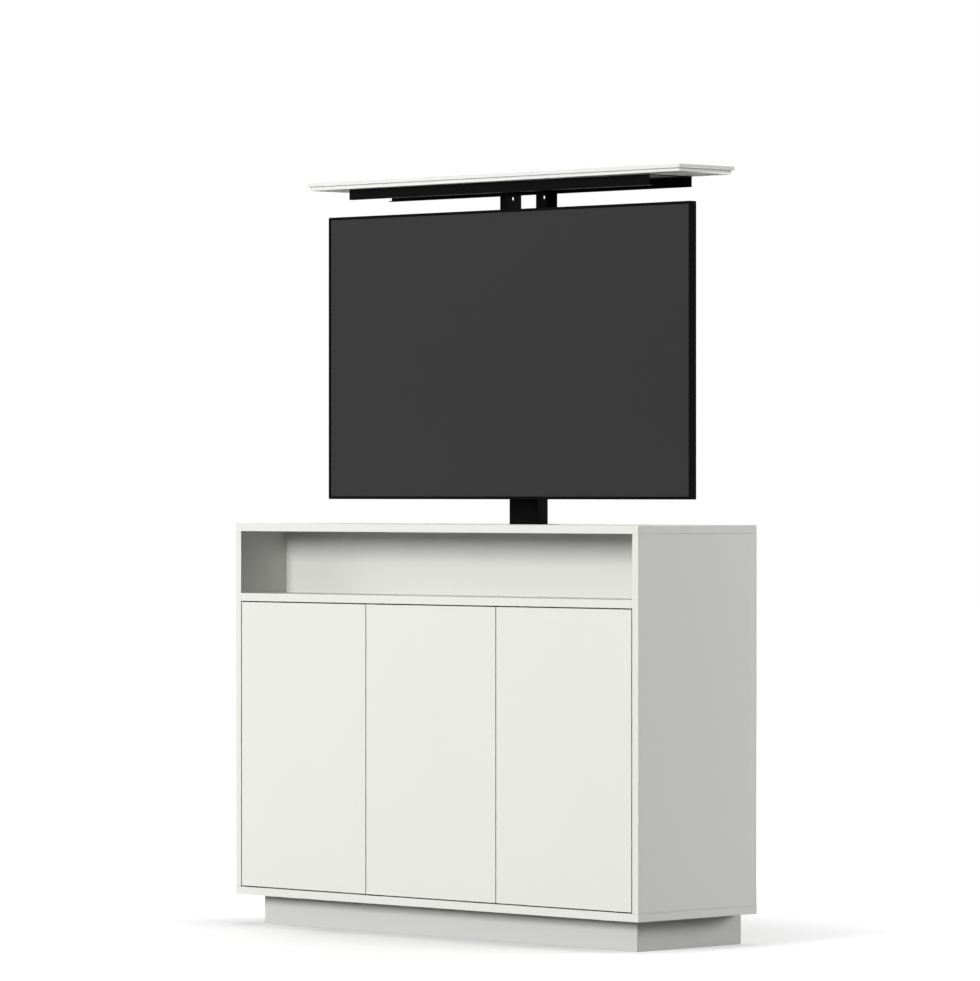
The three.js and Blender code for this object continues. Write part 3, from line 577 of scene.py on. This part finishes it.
leaf_screw = in_metres(2.9, 0.4, 1.6, 2.8)
latch_screw = in_metres(3.0, 1.4, 1.6, 2.8)
panel_screw = in_metres(3.6, 1.1, 1.6, 2.8)
cover_screw = in_metres(3.6, 0.9, 1.6, 2.8)
ear_screw = in_metres(3.8, 2.2, 2.1, 2.8)
tray_screw = in_metres(4.6, 2.2, 2.4, 2.8)
foot_bolt = in_metres(5.0, 5.0, 3.0, 5.0)
arm_bolt = in_metres(5.2, 3.2, 3.0, 2.0)
rail_bolt = in_metres(5.2, 3.2, 3.0, 15.0)
rim_share = 0.55
crown_share = 0.82
recess_share = 0.6
recess_floor_share = 0.3


# A round head on a shank, with a recess of the given outline for the driver
def screw(shape, place, sizes, recess):
    radius, height, shank, reach = sizes
    rows = (
        (shank, -reach),
        (shank, 0.0),
        (radius, 0.0),
        (radius, height * rim_share),
        (radius * crown_share, height),
    )
    loops = [loop_of(shape, circle(wide), level, place) for wide, level in rows]
    shape.faces.new(loops[0])
    for low, high in zip(loops, loops[1:]):
        wall(shape, low, high)
    outline = recess(radius * recess_share)
    mouth = loop_of(shape, outline, height, place)
    floor = loop_of(shape, outline, height * recess_floor_share, place)
    wall(shape, floor, mouth)
    shape.faces.new(floor)
    rings = (set(loops[-1]), set(mouth))
    rims = [edge for edge in shape.edges if any(set(edge.verts) <= ring for ring in rings)]
    bmesh.ops.bridge_loops(shape, edges=rims)


def fitting(shape, name, material, body):
    bmesh.ops.recalc_face_normals(shape, faces=shape.faces)
    piece = piece_from(shape, name, material)
    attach(piece, body)


# Screws on the hinge leaves: the heads lie on the faces that the leaves of a hinge turn to each other

leaf_nose = 3.0 * millimetre
leaf_length = 48.0 * millimetre
leaf_thickness = 3.0 * millimetre
leaf_screw_shares = (0.45, 0.85)
door_sides = (("left_door", -1.0), ("middle_door", -1.0), ("right_door", 1.0))


def leaf_screws(shape, node, side, level, outward):
    low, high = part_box(node)
    pin_x = low[0] + leaf_nose if side < 0 else high[0] - leaf_nose
    leaf_y = centre_of(low, high)[1]
    for share in leaf_screw_shares:
        x = pin_x - side * leaf_length * share
        screw(shape, facing((x, leaf_y, level), outward), leaf_screw, cross)


def hinge_screws():
    fixed = bmesh.new()
    for door, (body, side) in zip(door_numbers, door_sides):
        moving = bmesh.new()
        for end in ("top", "bottom"):
            door_leaf = "door_%d_%s_door_leaf" % (door, end)
            frame_leaf = "door_%d_%s_frame_leaf" % (door, end)
            door_low, door_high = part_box(door_leaf)
            frame_low, frame_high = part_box(frame_leaf)
            if end == "top":
                leaf_screws(moving, door_leaf, side, door_high[2], upwards)
                leaf_screws(fixed, frame_leaf, side, frame_high[2] - leaf_thickness, downwards)
            else:
                leaf_screws(moving, door_leaf, side, door_low[2], downwards)
                leaf_screws(fixed, frame_leaf, side, frame_low[2] + leaf_thickness, upwards)
        fitting(moving, body + "_hinge_screws", browned_steel, body)
    fitting(fixed, "frame_leaf_screws", browned_steel, "cabinet")


latch_ear_offset = 9.5 * millimetre
latch_ear_inset = 6.0 * millimetre
latch_ear_thickness = 3.0 * millimetre


def latch_screws():
    shape = bmesh.new()
    for door in door_numbers:
        low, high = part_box("latch_%d_housing" % door)
        middle = centre_of(low, high)[0]
        for side in (-1.0, 1.0):
            x = middle + side * latch_ear_offset
            spot = (x, high[1] - latch_ear_inset, high[2] - latch_ear_thickness)
            screw(shape, facing(spot, downwards), latch_screw, cross)
    fitting(shape, "latch_screws", steel, "cabinet")


# Two soft dots on the back of each door, which meet the board behind its free edge

bumper_radius = 3.2 * millimetre
bumper_height = 1.6 * millimetre
bumper_shares = ((1.0, 0.0), (1.0, 0.35), (0.85, 0.75), (0.5, 1.0))
bumper_inset = 70.0 * millimetre
bumper_places = (-0.2253, 0.2143, 0.2253)


def door_bumpers():
    rows = [(circle(bumper_radius * wide), bumper_height * level) for wide, level in bumper_shares]
    for door, (body, _), x in zip(door_numbers, door_sides, bumper_places):
        shape = bmesh.new()
        low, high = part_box("door_%d" % door)
        for z in (low[2] + bumper_inset, high[2] - bumper_inset):
            loft(shape, rows, facing((x, high[1], z), backwards))
        fitting(shape, body + "_bumpers", soft_dot, body)


# Four metal pins carry each shelf, in the row of holes just under it

pin_profile = (
    (2.3, -7.0),
    (2.3, 0.0),
    (4.0, 0.0),
    (4.0, 1.0),
    (2.4, 1.0),
    (2.4, 8.6),
    (1.9, 9.2),
)
pin_sides = 12
pin_drop = 2.7 * millimetre
pin_inset = 26.0 * millimetre
joint_gap = 0.2 * millimetre


def shelf_pins():
    shape = bmesh.new()
    rows = turned(pin_profile, pin_sides)
    for door in door_numbers:
        low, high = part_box("shelf_%d" % door)
        z = low[2] - pin_drop
        for y in (low[1] + pin_inset, high[1] - pin_inset):
            loft(shape, rows, facing((low[0] - joint_gap, y, z), rightwards))
            loft(shape, rows, facing((high[0] + joint_gap, y, z), leftwards))
    fitting(shape, "shelf_pins", steel, "cabinet")


# A plastic ring in the cable hole of the back panel

ring_profile = (
    (29.6, -8.0),
    (29.6, 0.0),
    (34.0, 0.0),
    (34.0, 0.9),
    (33.2, 1.5),
    (28.4, 1.5),
    (27.6, 1.0),
    (27.6, -9.6),
    (33.0, -9.6),
    (33.0, -8.0),
)
ring_sides = 40
ring_x = -0.3
ring_z = 0.152


def cable_ring():
    shape = bmesh.new()
    panel_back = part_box("back_panel")[1][1]
    place = facing((ring_x, panel_back, ring_z), backwards)
    loft(shape, turned(ring_profile, ring_sides), place, closed=True)
    fitting(shape, "cable_ring", black_plastic, "cabinet")


# Screws along the rim of a thin panel, in two rows and down its sides

panel_screw_inset = 10.0 * millimetre
panel_row_shares = (0.0, 0.2, 0.4, 0.6, 0.8, 1.0)
panel_side_shares = (0.25, 0.5, 0.75)
cover_screw_inset = 9.0 * millimetre
cover_row_shares = (0.02, 0.26, 0.5, 0.74, 0.98)
cover_side_shares = (0.33, 0.67)
sheet_thickness = 4.0 * millimetre


def rim_spots(node, inset, row_shares, side_shares):
    low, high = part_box(node)
    left, right = low[0] + inset, high[0] - inset
    bottom, top = low[2] + inset, high[2] - inset
    rows = [(left + (right - left) * share, z) for share in row_shares for z in (bottom, top)]
    sides = [(x, bottom + (top - bottom) * share) for share in side_shares for x in (left, right)]
    return rows + sides


def panel_screws():
    shape = bmesh.new()
    panel_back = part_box("back_panel")[1][1]
    for x, z in rim_spots("back_panel", panel_screw_inset, panel_row_shares, panel_side_shares):
        screw(shape, facing((x, panel_back, z), backwards), panel_screw, cross)
    fitting(shape, "back_panel_screws", steel, "cabinet")


def cover_screws():
    shape = bmesh.new()
    sheet_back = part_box("screen_rear_cover")[0][1] + sheet_thickness
    for x, z in rim_spots("screen_rear_cover", cover_screw_inset, cover_row_shares, cover_side_shares):
        screw(shape, facing((x, sheet_back, z), backwards), cover_screw, cross)
    fitting(shape, "rear_cover_screws", black_paint, "carriage")


# The lift's drive: bolts on the housing's flange, screws in the control box's ears, its inlet's blades

foot_hole_inset = 9.0 * millimetre
foot_hole_offset = 11.0 * millimetre
housing_flange = 6.0 * millimetre


def drive_bolts():
    shape = bmesh.new()
    low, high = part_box("gear_housing")
    middle_y = centre_of(low, high)[1]
    for x in (low[0] + foot_hole_inset, high[0] - foot_hole_inset):
        for side in (-1.0, 1.0):
            spot = (x, middle_y + side * foot_hole_offset, low[2] + housing_flange)
            screw(shape, facing(spot, upwards), foot_bolt, hexagon)
    fitting(shape, "gear_housing_bolts", steel, "cabinet")


ear_hole_inset = 7.0 * millimetre
ear_thickness = 3.0 * millimetre
inlet_depth = 14.0 * millimetre
blade_profile = ((2.0, 4.0, 0.0), (2.0, 4.0, 10.0), (1.2, 3.0, 11.5))
blade_places = ((-7.0, -1.5), (7.0, -1.5), (0.0, 2.5))


def control_box_fittings():
    shape = bmesh.new()
    low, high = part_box("control_box")
    middle = centre_of(low, high)
    for x in (low[0] + ear_hole_inset, high[0] - ear_hole_inset):
        screw(shape, facing((x, middle[1], low[2] + ear_thickness), upwards), ear_screw, cross)
    rows = [(rectangle(*in_metres(*sizes)), level * millimetre) for *sizes, level in blade_profile]
    for blade in blade_places:
        offset, rise = in_metres(*blade)
        spot = (middle[0] + offset, high[1] - inlet_depth, middle[2] + rise)
        loft(shape, rows, facing(spot, backwards))
    fitting(shape, "control_box_fittings", steel, "cabinet")


# Screws through the tray into the lid

tray_wall = 2.0 * millimetre
tray_screw_shares = (0.06, 0.28, 0.72, 0.94)
tray_screw_inset = 34.0 * millimetre


def lid_screws():
    shape = bmesh.new()
    low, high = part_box("lid_tray")
    for share in tray_screw_shares:
        x = low[0] + (high[0] - low[0]) * share
        for y in (low[1] + tray_screw_inset, high[1] - tray_screw_inset):
            screw(shape, facing((x, y, high[2] - tray_wall), downwards), tray_screw, cross)
    fitting(shape, "lid_screws", black_paint, "carriage")


# A ring in the hole of each upright's web, where the screen's leads pass

web_hole_drop = 31.8 * millimetre
web_ring_profile = (
    (5.3, -3.0),
    (5.3, 0.0),
    (6.7, 0.0),
    (6.7, 0.7),
    (4.9, 0.9),
    (4.9, -3.9),
    (6.7, -3.7),
    (6.7, -3.0),
)
web_ring_sides = 24


def web_rings():
    shape = bmesh.new()
    rows = turned(web_ring_profile, web_ring_sides)
    left_low, left_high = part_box("left_upright")
    right_low, right_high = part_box("right_upright")
    left_middle, right_middle = centre_of(left_low, left_high), centre_of(right_low, right_high)
    left_spot = (left_high[0], left_middle[1], left_high[2] - web_hole_drop)
    right_spot = (right_low[0], right_middle[1], right_high[2] - web_hole_drop)
    loft(shape, rows, facing(left_spot, rightwards), closed=True)
    loft(shape, rows, facing(right_spot, leftwards), closed=True)
    fitting(shape, "web_rings", black_plastic, "carriage")


# Bolts that hold the arms to the screen, and the rail to the uprights with a nut behind each

arm_wall = 2.0 * millimetre
mount_half_pitch = 200.0 * millimetre
rail_bolt_x = 60.0 * millimetre
upright_wall = 3.0 * millimetre
nut_radius = 5.8 * millimetre
nut_height = 4.0 * millimetre


def mount_screws():
    shape = bmesh.new()
    screen_z = centre_of(*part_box("screen_panel"))[2]
    for arm in ("left_arm", "right_arm"):
        low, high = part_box(arm)
        for side in (-1.0, 1.0):
            spot = (centre_of(low, high)[0], low[1] + arm_wall, screen_z + side * mount_half_pitch)
            screw(shape, facing(spot, backwards), arm_bolt, hexagon)
    low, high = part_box("mount_rail")
    rail_z = centre_of(low, high)[2]
    nut_rows = [(hexagon(nut_radius), 0.0), (hexagon(nut_radius), nut_height)]
    for x in (-rail_bolt_x, rail_bolt_x):
        screw(shape, facing((x, low[1], rail_z), forwards), rail_bolt, hexagon)
        loft(shape, nut_rows, facing((x, high[1] + joint_gap + upright_wall, rail_z), backwards))
    fitting(shape, "mount_screws", steel, "carriage")


# Plain sockets in the bay of the screen's rear cover

bay_depth = 9.0 * millimetre
socket_rise = 129.2 * millimetre
socket_places = (
    (262.0, 14.0, 16.0, 6.4),
    (286.0, 14.0, 16.0, 6.4),
    (310.0, 14.0, 16.0, 6.4),
    (336.0, 14.0, 14.0, 7.0),
    (360.0, 14.0, 14.0, 7.0),
    (264.0, -14.0, 17.0, 14.0),
    (292.0, -14.0, 13.0, 10.0),
)
socket_rim = 1.6 * millimetre
socket_height = 3.0 * millimetre
socket_floor = 0.6 * millimetre
tongue_width_share = 0.72
tongue_height = 1.4 * millimetre
tongue_reach_share = 0.85
round_socket_places = ((320.0, -14.0), (338.0, -14.0), (358.0, -14.0))
round_socket_profile = ((4.4, 0.0), (4.4, 2.0), (3.6, 2.0), (3.6, 6.0), (2.2, 6.0), (2.2, 1.0))
round_socket_sides = 20


def flat_sockets(metal_shape, dark_shape, floor_y, socket_z):
    for sizes in socket_places:
        offset, rise, width, height = in_metres(*sizes)
        place = facing((offset, floor_y, socket_z + rise), backwards)
        outer = rectangle(width, height)
        inner = rectangle(width - socket_rim, height - socket_rim)
        rows = [(outer, 0.0), (outer, socket_height), (inner, socket_height), (inner, socket_floor)]
        loft(metal_shape, rows, place)
        tongue = rectangle((width - socket_rim) * tongue_width_share, tongue_height)
        loft(dark_shape, [(tongue, socket_floor), (tongue, socket_height * tongue_reach_share)], place)


def rear_sockets():
    metal_shape, dark_shape = bmesh.new(), bmesh.new()
    low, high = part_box("screen_rear_cover")
    floor_y = high[1] - bay_depth
    socket_z = low[2] + socket_rise
    flat_sockets(metal_shape, dark_shape, floor_y, socket_z)
    for sizes in round_socket_places:
        offset, rise = in_metres(*sizes)
        place = facing((offset, floor_y, socket_z + rise), backwards)
        loft(metal_shape, turned(round_socket_profile, round_socket_sides), place)
    fitting(metal_shape, "rear_sockets", steel, "carriage")
    fitting(dark_shape, "rear_socket_tongues", black_plastic, "carriage")


# Floor and world: what the camera sees of them is brighter than what they cast on the cabinet

floor_half = 40.0
floor_segments = 8
floor_bounce = 0.02
floor_shade = 0.75
floor_glow_span = (0.19, 1.0)
floor_glow_reach = (0.45, 1.8)
glow_middle_y = 0.064
sky_stops = ((0.0, 0.01), (0.5, 0.02), (1.0, 0.02))
backdrop_white = (1.0, 1.0, 1.0)


def seen_directly(tree):
    path = tree.nodes.new("ShaderNodeLightPath").outputs
    first = arithmetic(tree, "MAXIMUM", path["Is Camera Ray"], path["Is Glossy Ray"])
    return arithmetic(tree, "MAXIMUM", first, path["Is Transmission Ray"])


def glow_by_distance(tree):
    place = tree.nodes.new("ShaderNodeTexCoord")
    distance = tree.nodes.new("ShaderNodeVectorMath")
    distance.operation = "LENGTH"
    tree.links.new(place.outputs["Object"], distance.inputs[0])
    return remapped(tree, distance.outputs["Value"], floor_glow_reach, floor_glow_span)


def matt(tree, level):
    surface = tree.nodes.new("ShaderNodeBsdfDiffuse")
    surface.inputs["Color"].default_value = opaque((level, level, level))
    return surface.outputs["BSDF"]


def floor_material():
    material = bpy.data.materials.new("pale_floor")
    material.use_nodes = True
    tree = material.node_tree
    tree.nodes.clear()
    out = tree.nodes.new("ShaderNodeOutputMaterial")
    glow = tree.nodes.new("ShaderNodeEmission")
    feed(tree, glow.inputs["Strength"], glow_by_distance(tree))
    both = tree.nodes.new("ShaderNodeAddShader")
    feed(tree, both.inputs[0], matt(tree, floor_shade))
    feed(tree, both.inputs[1], glow.outputs["Emission"])
    surface = picked_shader(tree, seen_directly(tree), matt(tree, floor_bounce), both.outputs["Shader"])
    tree.links.new(surface, out.inputs["Surface"])
    return material


def add_floor():
    shape = bmesh.new()
    bmesh.ops.create_grid(shape, x_segments=floor_segments, y_segments=floor_segments, size=floor_half)
    mesh = bpy.data.meshes.new("floor")
    shape.to_mesh(mesh)
    shape.free()
    floor = bpy.data.objects.new("floor", mesh)
    floor.location = (0.0, glow_middle_y, 0.0)
    bpy.context.scene.collection.objects.link(floor)
    mesh.materials.append(floor_material())


def sky_ramp(tree):
    ramp = tree.nodes.new("ShaderNodeValToRGB")
    for height, _ in sky_stops[1:-1]:
        ramp.color_ramp.elements.new(height)
    for element, (height, level) in zip(ramp.color_ramp.elements, sky_stops):
        element.position = height
        element.color = opaque((level, level, level))
    feed(tree, ramp.inputs["Fac"], axes(tree, "Generated")["Z"])
    return ramp.outputs["Color"]


def background(tree, colour):
    light = tree.nodes.new("ShaderNodeBackground")
    feed(tree, light.inputs["Color"], colour)
    return light.outputs["Background"]


def add_world():
    world = bpy.data.worlds.new("studio")
    bpy.context.scene.world = world
    world.use_nodes = True
    tree = world.node_tree
    tree.nodes.clear()
    out = tree.nodes.new("ShaderNodeOutputWorld")
    lighting = background(tree, sky_ramp(tree))
    backdrop = background(tree, opaque(backdrop_white))
    tree.links.new(picked_shader(tree, seen_directly(tree), lighting, backdrop), out.inputs["Surface"])


# Each lamp's name, degrees round from the front, degrees up, distance, width, height and power

lamp_target = Vector((0.0, 0.0, 0.8))
lamps = (
    ("front_lamp", -1.5, 17.0, 20.0, 7.2, 7.6, 3420.0),
    ("right_lamp", 95.0, 30.0, 12.0, 4.0, 5.0, 130.0),
    ("back_right_lamp", 150.0, 10.5, 12.0, 4.0, 3.4, 1300.0),
    ("left_lamp", -65.0, 15.0, 12.0, 4.0, 5.0, 465.0),
    ("top_lamp", 180.0, 88.0, 12.0, 6.0, 5.0, 440.0),
)


def add_lamp(name, azimuth, elevation, distance, width, height, power):
    data = bpy.data.lights.new(name, "AREA")
    data.shape = "RECTANGLE"
    data.size = width
    data.size_y = height
    data.energy = power
    lamp = bpy.data.objects.new(name, data)
    turn, rise = math.radians(azimuth), math.radians(elevation)
    outward = Vector((math.sin(turn) * math.cos(rise), -math.cos(turn) * math.cos(rise), math.sin(rise)))
    lamp.location = lamp_target + outward * distance
    lamp.rotation_euler = outward.to_track_quat("Z", "Y").to_euler()
    lamp.visible_camera = False
    lamp.visible_glossy = False
    bpy.context.scene.collection.objects.link(lamp)


camera_sensor = 36.0
camera_lens = 217.2
camera_reach = 200.0
camera_place = (10.0122, -9.9739, 1.0594)
camera_pitch = math.radians(90.0)
camera_turn = math.radians(45.11)


def add_camera():
    data = bpy.data.cameras.new("photo_view")
    data.sensor_width = camera_sensor
    data.lens = camera_lens
    data.clip_end = camera_reach
    camera = bpy.data.objects.new("photo_view", data)
    camera.location = camera_place
    camera.rotation_euler = (camera_pitch, 0.0, camera_turn)
    bpy.context.scene.collection.objects.link(camera)
    bpy.context.scene.camera = camera


dress_all()

hinge_screws()
latch_screws()
door_bumpers()
shelf_pins()
cable_ring()
panel_screws()
drive_bolts()
control_box_fittings()
lid_screws()
web_rings()
mount_screws()
cover_screws()
rear_sockets()

add_floor()
add_world()
for lamp_values in lamps:
    add_lamp(*lamp_values)
add_camera()
bpy.context.scene.view_settings.view_transform = "Standard"
